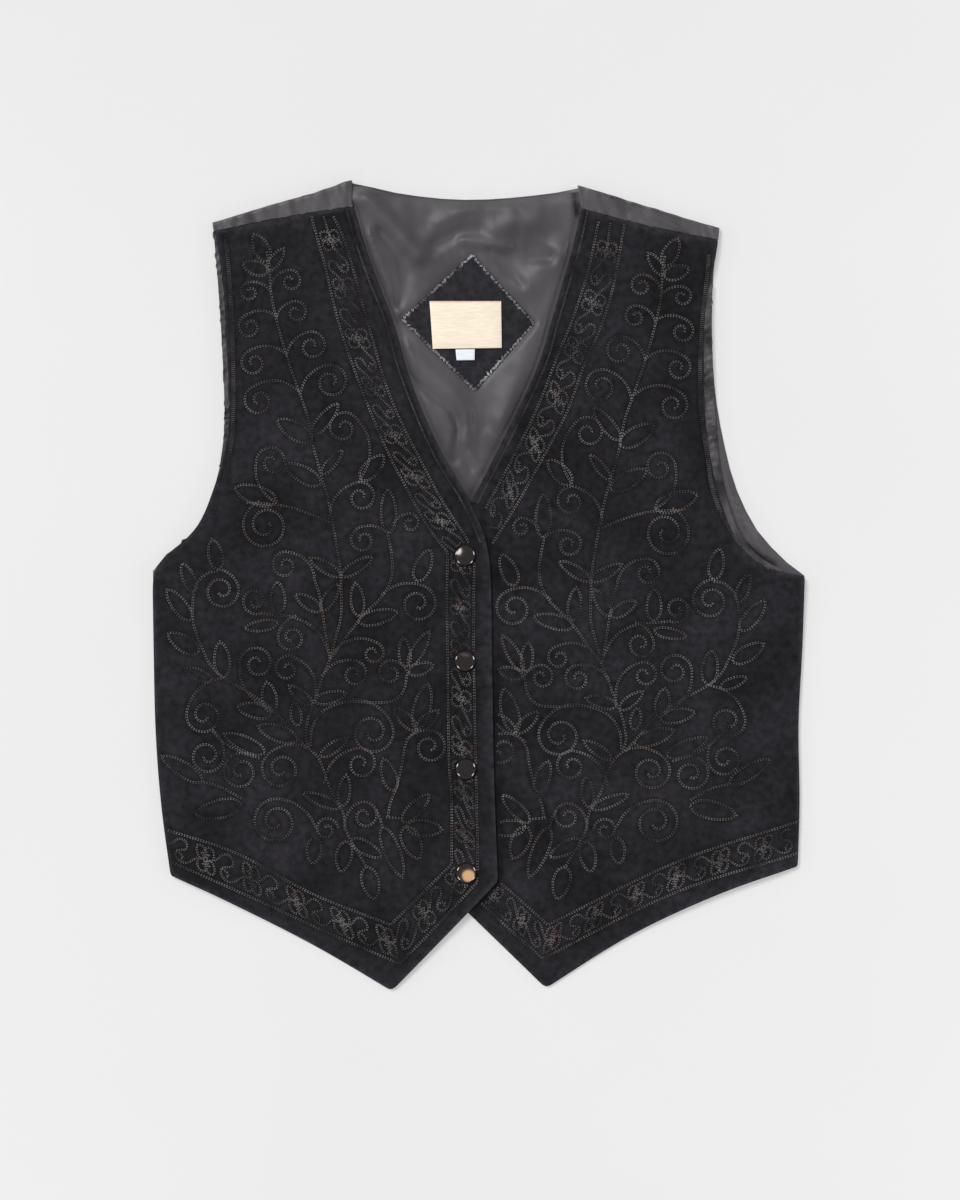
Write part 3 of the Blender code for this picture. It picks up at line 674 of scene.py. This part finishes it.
# Topstitching: a row of dark stitches that holds down the turned edge round the neck,
# and a double row along each armhole, sewn through suede and lining together.
# columns: x, y from the shoulder down
NECK_EDGES = {
    "right": [(-97, 291), (-90, 266), (-80, 237), (-67, 204.5), (-55, 162), (-32, 106.5), (-7.5, 65),
              (6, 35)],
    "left": [(78.5, 289.5), (72.5, 262), (65.5, 237), (56, 204.5), (46, 170.5), (21, 117.5), (-6, 65)],
}
ARMHOLE_ROWS = {
    "right": [(-195.6, 269), (-192, 228), (-190, 186), (-189.4, 142), (-191, 110), (-197, 80)],
    "left": [(176, 254.5), (173.8, 230.6), (171, 204.4), (169.3, 177.5), (169.3, 151.3), (169.8, 133.6),
             (174.5, 101), (179.7, 69.9), (192.1, 43.1), (206.4, 24.5), (223, 12.2)],
}
TURNED_EDGE = 5.2
TOPSTITCH = 0.7
dark_thread = thread_material("topstitch_thread", (0.040, 0.038, 0.040), (0.18, 0.17, 0.172),
                              (0.12, 0.085, 0.080))
for side, stops in NECK_EDGES.items():
    inward = -1.0 if side == "right" else 1.0
    armhole = flowing(ARMHOLE_ROWS[side])
    rows = [beside(flowing(stops), inward * TURNED_EDGE), armhole, beside(armhole, ROW_GAP)]
    borders["front_" + side].append(sew("topstitch_" + side, rows, "front_" + side, dark_thread, TOPSTITCH))

# Puckers: every row of stitches pulls the suede down a little, and painted shade darkens the suede along it.
# The left front lies darker beside the lap too.
PUCKER_DEPTH = 0.35 * MM
PUCKER_REACH = 2.0 * MM
SHADE_REACH = 2.7 * MM
SHADE_SHARE = 0.8
LAP_SHADE_REACH = 3.6 * MM
# columns: width and length of the panel as cut to its finished edges, its area, what it rests on
FRONT_SHEETS = {
    "front_right": (0.266, 0.603, 0.1150, ["front_left", "back_lining"]),
    "front_left": (0.285, 0.600, 0.1170, ["back_lining"]),
}
for node, (width, length, area, under) in FRONT_SHEETS.items():
    spots = KDTree(len(sewn_spots[node]))
    for i, spot in enumerate(sewn_spots[node]):
        spots.insert(spot, i)
    spots.balance()
    data = fronts[node].data
    # How much painted shade each point takes: along the stitch rows, and the lap's painted shadow on the
    # left front.
    painted_shade_amount = []
    for vert in data.vertices:
        away = spots.find(vert.co)[2]
        shaded = SHADE_SHARE * math.exp(-(away / SHADE_REACH) ** 2)
        # Painted shadow of the lap's edge on the left front.
        if node == "front_left" and vert.co.y < lap_y[-1] * MM:
            beyond = vert.co.x - np.interp(vert.co.y / MM, lap_y, lap_x) * MM
            shaded = max(shaded, math.exp(-(beyond / LAP_SHADE_REACH) ** 2))
        painted_shade_amount.append(shaded)
        vert.co.z -= PUCKER_DEPTH * math.exp(-(away / PUCKER_REACH) ** 2)
    data.attributes.new("pucker_and_lap_shade", "FLOAT", "POINT").data.foreach_set("value", painted_shade_amount)

# Back lining: grey satin behind the open neck, with soft folds that run down from the shoulders.
# It is sewn in at the side seams and under the V edges.
SATIN_WALL = 1.0 * MM
LINING_TOP = 2.3 * MM
# columns: west, east, south and north end of a region that is cut finely, and its step, in millimetres
FINE_REGIONS = [(-112.0, 98.0, 30.0, 313.0, 2.0), (150.0, 246.0, -4.0, 176.0, 2.5)]
# Folds of the lining in the neck opening: the line each runs along, its half width and its height;
# one with a height below 0 is a hollow
FOLDS = [
    ([(-86, 297), (-66, 275), (-47, 254)], 6.0, 2.2),
    ([(-75, 272), (-60, 252), (-57, 240), (-62, 214)], 4.0, -1.5),
    ([(-86, 264), (-72, 240), (-63, 212)], 7.0, 1.9),
    ([(-34, 261), (-18, 270), (-1, 274)], 4.0, -1.8),
    ([(-12, 266), (10, 262), (34, 258)], 4.5, 1.9),
    ([(29, 258), (42, 256), (54, 252)], 5.5, -2.4),
    ([(14, 273), (28, 279), (42, 281)], 8.0, 1.4),
    ([(40, 232), (50, 243), (62, 256)], 9.0, 1.8),
    ([(-30, 279), (-16, 286), (-6, 292)], 6.0, 1.0),
    ([(9, 257), (22, 245), (34, 231)], 3.0, -0.9),
    ([(-60, 181), (-40, 163), (-22, 147), (-10, 132), (-11, 112)], 7.0, 2.4),
    ([(-57, 163), (-38, 149), (-21, 136), (-15, 122), (-18, 98)], 3.4, -1.7),
    ([(41, 196), (33, 165), (20, 128)], 9.0, 1.8),
    ([(-3, 148), (0, 138), (1, 126)], 7.0, -1.4),
    ([(-16, 104), (-11, 97), (-6, 90)], 2.8, -1.0),
    ([(-7, 101), (-3, 95), (1, 88)], 2.8, 1.0),
    ([(203, 37), (213, 28), (225, 20)], 2.0, 1.2),
    ([(182, 112), (188, 80), (199, 54), (210, 40)], 5.5, 1.3),
]
FOLD_RISE = 2.6
FOLD_LIMIT = 4.6
# columns: the line of a painted shadow, in a deep hollow or beside an edge that lies over the lining, its
# half width, how dark the painted shade is
PAINTED_SHADOW_LINES = [
    ([(206, 31), (215, 23.5), (227, 16)], 2.4, 0.95),
    ([(73.5, 309), (73.2, 297), (75.5, 286)], 2.8, 1.0),
    ([(-93.5, 291), (-86.5, 266), (-76.5, 237), (-63.5, 204.5), (-51.5, 162), (-28.5, 106.5), (-4, 65)],
     5.0, 0.4),
    ([(-93, 300), (-60, 301), (-10, 299), (40, 302), (70, 306)], 1.6, 0.35),
]


def satin_material(name, tone, dark, light, scale):
    """Satin: a close weave with a silky mottle, a soft shine and painted shade in its deep hollows and
    beside the edges that lie over it.
    """
    material, tree, shader = new_material(name, 0.5)
    silky = placed(tree, mottle, Scale=scale, Detail=4.0, Stretch=(1.0, 0.6, 1.0), From=0.36, To=0.64,
                   Dark=shade(tone, dark), Light=shade(tone, light))["Color"]
    # Painted shade: the colour goes nearly black along the listed lines, in the lining's hollows and beside
    # the edges that lie over it.
    shadowed_colour = laid_over(tree, marked(tree, "painted_shadow"), silky, shade(tone, 0.10))
    tree.links.new(shadowed_colour, shader.inputs["Base Color"])
    weave = placed(tree, grain, Scale=1800.0, Detail=2.0, Stretch=(1.0, 0.35, 1.0), Depth=0.08 * MM,
                   Strength=0.5)["Normal"]
    tree.links.new(weave, shader.inputs["Normal"])
    shader.inputs["Specular IOR Level"].default_value = 0.35
    shader.inputs["Sheen Weight"].default_value = 0.15
    shader.inputs["Sheen Roughness"].default_value = 0.4
    return material


def finely_cut(mesh, west, east, south, north, step):
    """Cut a region of a flat sheet into small squares, all in metres."""
    across, up = Vector((1.0, 0.0, 0.0)), Vector((0.0, 1.0, 0.0))
    geometry = mesh.verts[:] + mesh.edges[:] + mesh.faces[:]
    for at in (across * west, across * east, up * south, up * north):
        geometry = bmesh.ops.bisect_plane(mesh, geom=geometry, plane_co=at, plane_no=at.normalized())["geom"]
    inside = [face for face in mesh.faces if west < face.calc_center_median().x < east
              and south < face.calc_center_median().y < north]
    geometry = inside + list({item for face in inside for item in [*face.edges, *face.verts]})
    for low, high, way in [(west, east, across), (south, north, up)]:
        count = round((high - low) / step)
        for i in range(1, count):
            at = way * (low + (high - low) * i / count)
            geometry = bmesh.ops.bisect_plane(mesh, geom=geometry, plane_co=at, plane_no=way)["geom"]


SATIN_TONE = (0.074, 0.067, 0.075)
satin = satin_material("grey_satin", SATIN_TONE, 0.76, 1.16, 30.0)
mesh = bmesh.new()
mesh.from_mesh(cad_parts["back_lining"].data)
bmesh.ops.remove_doubles(mesh, verts=mesh.verts, dist=WELD)
mesh.normal_update()
under = [face for face in mesh.faces if face.normal.z < UPPER_NORMAL]
bmesh.ops.delete(mesh, geom=under, context="FACES")
for vert in mesh.verts:
    vert.co.z = LINING_TOP
bmesh.ops.dissolve_limit(mesh, angle_limit=0.01, use_dissolve_boundaries=False, verts=mesh.verts,
                         edges=mesh.edges, delimit=set())
for region in FINE_REGIONS:
    finely_cut(mesh, *[edge * MM for edge in region])
# What lies over the lining, and how near it the folds may come
covers = [(skin, 2.7 * MM) for skin in skins.values()]
for node, gap in [("label_patch", 0.6 * MM), ("left_armhole_binding", 0.9 * MM)]:
    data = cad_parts[node].data
    tree = BVHTree.FromPolygons([vert.co for vert in data.vertices],
                                [face.vertices for face in data.polygons])
    covers.append((tree, gap))


def soft_step(value):
    """0 to 1 with soft ends."""
    value = min(max(value, 0.0), 1.0)
    return value * value * (3.0 - 2.0 * value)


def nearness(spot, line, half_width):
    """How near a point is to a line of straight runs: 1 on it, fading to 0 beyond its half width."""
    away = 1e9
    for start, end in zip(line, line[1:]):
        start, run = Vector(start), Vector(end) - Vector(start)
        along = min(max((spot - start).dot(run) / run.length_squared, 0.0), 1.0)
        away = min(away, (spot - start - run * along).length)
    return math.exp(-(away / half_width) ** 2)


def fold_height(spot):
    """How far the folds lift or sink the lining at a point, in metres."""
    lift = sum(height * nearness(spot, line, half_width) for line, half_width, height in FOLDS)
    wave = noise.noise(Vector((spot.x / 26.0, spot.y / 40.0, 0.0))) * 1.5
    wave += noise.noise(Vector((spot.x / 9.0, spot.y / 14.0, 3.0))) * 0.55
    wave += noise.noise(Vector(((spot.x + spot.y) / 5.0, (spot.x - spot.y) / 16.0, 6.0))) * 0.30
    return FOLD_LIMIT * math.tanh((FOLD_RISE * lift + wave) / FOLD_LIMIT) * MM


# The lining is held down at its edge and under what covers it, and bulges a little where it is free
FREE_REACH = 4.5 * MM
EDGE_HOLD = 8.0 * MM
FREE_RISE = 1.3 * MM
LOW_EASE = 1.2 * MM
mark_rim(mesh, EDGE_HOLD)
rim = mesh.verts.layers.float["rim"]
painted_shadow = mesh.verts.layers.float.new("painted_shadow")
for vert in mesh.verts:
    spot = vert.co.xy / MM
    # Painted shadow: how dark each point is painted, near the lines of the deep hollows and of the shadows
    # beside the edges over the lining.
    vert[painted_shadow] = max(dark * nearness(spot, line, half_width) for line, half_width, dark in PAINTED_SHADOW_LINES)
    fine = any(west < spot.x < east and south < spot.y < north
               for west, east, south, north, _ in FINE_REGIONS)
    if vert.is_boundary or not fine:
        continue
    free = 1.0 - vert[rim]
    for tree, gap in covers:
        free *= soft_step((tree.find_nearest(vert.co)[3] - gap) / FREE_REACH)
    height = FREE_RISE + fold_height(spot)
    vert.co.z = LINING_TOP + free * 0.5 * (height + math.hypot(height, LOW_EASE))
piece = cloth_piece("satin_back_lining", mesh, satin, SATIN_WALL, 0.3 * MM)
mesh.free()
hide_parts("back_lining")

# Back: one piece of satin with its two shoulder yokes, which fold forward to the shoulder seams.
# The yokes are lightly gathered into the seam and turned in at the neck; the underside lies flat.
YOKE_LOW = 1.2 * MM
YOKE_CUTS = 9
GATHER = 1.9 * MM
FOLD_WOBBLE = 0.9 * MM
NECK_ENDS = (-97.5, 77.0)
TURN_IN = 2.6
mesh = bmesh.new()
mesh.from_mesh(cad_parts["back"].data)
bmesh.ops.remove_doubles(mesh, verts=mesh.verts, dist=WELD)
yoke_edges = [edge for edge in mesh.edges if max(vert.co.z for vert in edge.verts) > YOKE_LOW]
bmesh.ops.subdivide_edges(mesh, edges=yoke_edges, cuts=YOKE_CUTS, use_grid_fill=True)
mesh.normal_update()
moves = {}
for vert in mesh.verts:
    if vert.co.z > YOKE_LOW:
        x, y = vert.co.x / MM, vert.co.y / MM
        away = min(skin.find_nearest(vert.co)[3] for skin in skins.values())
        loose = soft_step((away - 1.0 * MM) / (5.0 * MM))
        gather = noise.noise(Vector((x / 6.0 + y / 18.0, y / 34.0, 0.0)))
        gather += 0.5 * noise.noise(Vector((x / 3.6, y / 24.0, 5.0)))
        seam = min(abs(abs(x - end) - TURN_IN) for end in NECK_ENDS)
        lift = GATHER * gather - 0.5 * MM * math.exp(-(seam / 0.9) ** 2)
        wobble = FOLD_WOBBLE * noise.noise(Vector((x / 11.0, 3.0, 0.0))) * loose
        shown = soft_step((vert.co.z - YOKE_LOW) / (2.0 * MM)) * (vert.normal.z > 0.0)
        moves[vert] = Vector((0.0, wobble, lift * shown))
for vert, move in moves.items():
    vert.co += move
data = bpy.data.meshes.new("satin_back")
mesh.to_mesh(data)
mesh.free()
back = smooth_piece("satin_back", data, satin)
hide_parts("back")

# Armhole bindings: bias strips of satin that finish the armholes, sewn to the suede and turned under.
# They pucker where they follow the curve, lie half in shade, and only their edges show from above; that
# shade is painted into their colour, in dark patches among painted highlights.
# Painted shade and painted highlight: the satin's tone mottled in patches, from far darker to a little
# lighter.
painted_shade_binding_satin = satin_material("painted_shade_binding_satin", SATIN_TONE, 0.18, 1.10, 75.0)
BINDING_CUTS = 11
BINDING_PUCKER = 1.1 * MM
# Towards the underarm the strip lies smooth, in millimetres
SMOOTH_BELOW = 60.0
SMOOTH_RUN = 60.0
# columns: greatest width and length of the strip, its area, what it rests on
BINDING_SHEETS = {
    "right_armhole_binding": (0.0100, 0.182, 0.00066, "satin_back_lining"),
    "left_armhole_binding": (0.0120, 0.255, 0.00150, "satin_back_lining"),
}
for node, (width, length, area, under) in BINDING_SHEETS.items():
    mesh = upper_side(node, BINDING_CUTS)
    for vert in mesh.verts:
        x, y = vert.co.x / MM, vert.co.y / MM
        pucker = noise.noise(Vector((x / 9.0, y / 3.6, 0.0)))
        pucker += 0.6 * noise.noise(Vector((x / 5.0, y / 1.7, 7.0)))
        held = 0.35 if vert.is_boundary else 1.0
        vert.co.z += BINDING_PUCKER * pucker * held * (0.25 + soft_step((y - SMOOTH_BELOW) / SMOOTH_RUN))
    piece = cloth_piece("satin_" + node, mesh, painted_shade_binding_satin, SATIN_WALL, 0.2 * MM)
    mesh.free()
    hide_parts(node)

# Label patch: a diamond of black suede on the lining, its edge turned in so that a ridge shows inside it,
# oversewn all round with uneven slanting stitches in pale blue-grey thread.
PATCH_CORNERS = [(-5.5, 252.5), (41.5, 201.5), (-3.5, 151.5), (-57.5, 204.5)]
PATCH_ROUNDING = 3.5 * MM
PATCH_EASE = 1.055
PATCH_WALL = 1.2 * MM
# columns: how far in from the last ring, and the height of the new one over the patch's flat top
PATCH_RINGS = [(1.2, 0.0), (2.3, -0.15), (0.8, 0.45), (0.8, 0.45), (1.0, -0.1), (2.0, 0.0)]
WHIP_PITCH = 2.9
WHIP_SLANTS = (0.8, -0.6, 0.1)
WHIP_LENGTH = 5.4
# Its edge is paler the same way, partly wear and partly painted highlight.
patch_suede = suede_material("patch_suede", (0.0100, 0.0090, 0.0118), (0.0200, 0.0185, 0.0225))
patch_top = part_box("label_patch")[1].z
mesh = bmesh.new()
corners = [np.array(corner) for corner in PATCH_CORNERS]
middle = sum(corners) / 4.0
corners = [middle + (corner - middle) * PATCH_EASE for corner in corners]
diamond = mesh.faces.new([mesh.verts.new((x * MM, y * MM, patch_top)) for x, y in reversed(corners)])
bmesh.ops.bevel(mesh, geom=mesh.verts[:], offset=PATCH_ROUNDING, offset_type="OFFSET", affect="VERTICES",
                segments=5, profile=0.5, material=-1)
bmesh.ops.subdivide_edges(mesh, edges=[edge for edge in mesh.edges if edge.calc_length() > PATCH_ROUNDING],
                          cuts=23)
for inward, rise in PATCH_RINGS:
    diamond = max(mesh.faces, key=lambda face: face.calc_area())
    bmesh.ops.inset_region(mesh, faces=[diamond], thickness=inward * MM, use_even_offset=True)
    for vert in diamond.verts:
        vert.co.z = patch_top + rise * MM
for vert in mesh.verts:
    if vert.is_boundary:
        vert.co.z -= 0.4 * MM
mark_rim(mesh, 4.0 * MM)
patch_skin = BVHTree.FromBMesh(mesh)
mesh.normal_update()
patch = cloth_piece("suede_label_patch", mesh, patch_suede, PATCH_WALL - 0.4 * MM, 0.2 * MM)
mesh.free()
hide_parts("label_patch")

pale_thread = thread_material("blue_grey_thread", (0.10, 0.105, 0.12), (0.62, 0.63, 0.68),
                              (0.34, 0.35, 0.40))
whips = []
for start, end in zip(corners, corners[1:] + corners[:1]):
    start, end = [middle + (corner - middle) * 0.97 for corner in (start, end)]
    along = (end - start) / np.hypot(*(end - start))
    count = round(np.hypot(*(end - start)) / WHIP_PITCH)
    for k in range(count):
        wander = [noise.noise(Vector((k * 0.7, start[0], shift))) for shift in (0.0, 5.0, 9.0)]
        spot = start + (end - start) * (k + 0.5 + 0.5 * wander[0]) / count
        slant = WHIP_SLANTS[k % 3] + wander[1]
        way = np.array([along[0] * math.cos(slant) - along[1] * math.sin(slant),
                        along[0] * math.sin(slant) + along[1] * math.cos(slant)])
        reach = WHIP_LENGTH * (0.5 + 0.35 * wander[2])
        whips.append(np.stack([spot - way * reach, spot + way * reach]))
skins["label_patch"] = patch_skin
whip_stitches = sew("patch_whip_stitch", whips, "label_patch", pale_thread, 0.8, whole=True)

# Label and size tab: two small woven labels in cream and white, stitched to the patch and left bare.
# The large one has a thin orange thread woven along its top edge.
LABEL_TOP = [(-37.5, 217.9), (16.5, 217.9)]
LABEL_WAVE = 0.20 * MM
# columns: flat width and length, area, dark and light tone
LABELS = {
    "label": (0.0555, 0.0367, 0.00197, (0.84, 0.73, 0.57), (0.93, 0.84, 0.68)),
    "size_tab": (0.0148, 0.0100, 0.000128, (0.74, 0.78, 0.84), (0.84, 0.88, 0.93)),
}
for node, (width, length, area, dark, light) in LABELS.items():
    weave, tree, shader = new_material("woven_" + node, 0.8)
    tone = placed(tree, mottle, Scale=900.0, Detail=2.0, Stretch=(0.15, 1.0, 1.0),
                  Dark=(*dark, 1.0), Light=(*light, 1.0))["Color"]
    tree.links.new(tone, shader.inputs["Base Color"])
    ribs = placed(tree, grain, Scale=900.0, Detail=2.0, Stretch=(0.15, 1.0, 1.0), Depth=0.07 * MM,
                  Strength=0.6)["Normal"]
    tree.links.new(ribs, shader.inputs["Normal"])
    mesh = upper_side(node, 5)
    for vert in mesh.verts:
        vert.co.z += LABEL_WAVE * noise.noise(vert.co / (16.0 * MM))
    skins[node] = BVHTree.FromBMesh(mesh)
    cloth_piece("woven_" + node, mesh, weave, SATIN_WALL, 0.25 * MM)
    mesh.free()
    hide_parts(node)
orange_thread = thread_material("orange_thread", (0.62, 0.13, 0.05), (0.80, 0.24, 0.10), (0.70, 0.16, 0.07))
label_edge = sew("label_edge_thread", [flowing(LABEL_TOP)], "label", orange_thread, 0.55)

# Press-stud caps: pressed metal under black enamel, with a flat face, a sloping rim and a rolled edge.
# Each is closed over the end of its stud, which goes through the front.
# columns: share of the cap's radius, share of its height
CAP_PROFILE = [(0.0, 1.0), (0.80, 1.0), (0.843, 0.916), (0.886, 0.816), (0.93, 0.70), (0.99, 0.32),
               (1.0, 0.15), (0.97, 0.0), (0.0, 0.0)]
CAP_STEPS = 72
CAP_CREASE = math.radians(14.0)
enamel, tree, shader = new_material("black_enamel", 0.02)
tone = placed(tree, mottle, Scale=300.0, Dark=(0.0030, 0.0025, 0.0025, 1.0),
              Light=(0.0080, 0.0070, 0.0065, 1.0))["Color"]
tree.links.new(tone, shader.inputs["Base Color"])
shader.inputs["IOR"].default_value = 1.75
shader.inputs["Specular IOR Level"].default_value = 0.6
shader.inputs["Specular Tint"].default_value = (0.92, 0.80, 0.78, 1.0)
for number in range(1, 5):
    node = "snap_cap_%d" % number
    low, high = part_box(node)
    middle = (low + high) / 2.0
    radius, height = (high.x - low.x) / 2.0, high.z - low.z
    mesh = bmesh.new()
    verts = [mesh.verts.new((middle.x + share * radius, middle.y, low.z + rise * height))
             for share, rise in CAP_PROFILE]
    edges = [mesh.edges.new(pair) for pair in zip(verts, verts[1:])]
    bmesh.ops.spin(mesh, geom=verts + edges, cent=(middle.x, middle.y, 0.0), axis=(0.0, 0.0, 1.0),
                   angle=math.tau, steps=CAP_STEPS, use_merge=True)
    bmesh.ops.remove_doubles(mesh, verts=mesh.verts, dist=1e-6)
    bmesh.ops.recalc_face_normals(mesh, faces=mesh.faces)
    for edge in mesh.edges:
        edge.smooth = edge.calc_face_angle(0.0) < CAP_CREASE
    data = bpy.data.meshes.new("enamel_cap_%d" % number)
    mesh.to_mesh(data)
    mesh.free()
    piece = smooth_piece("enamel_cap_%d" % number, data, enamel)
    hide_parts(node)

low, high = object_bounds()
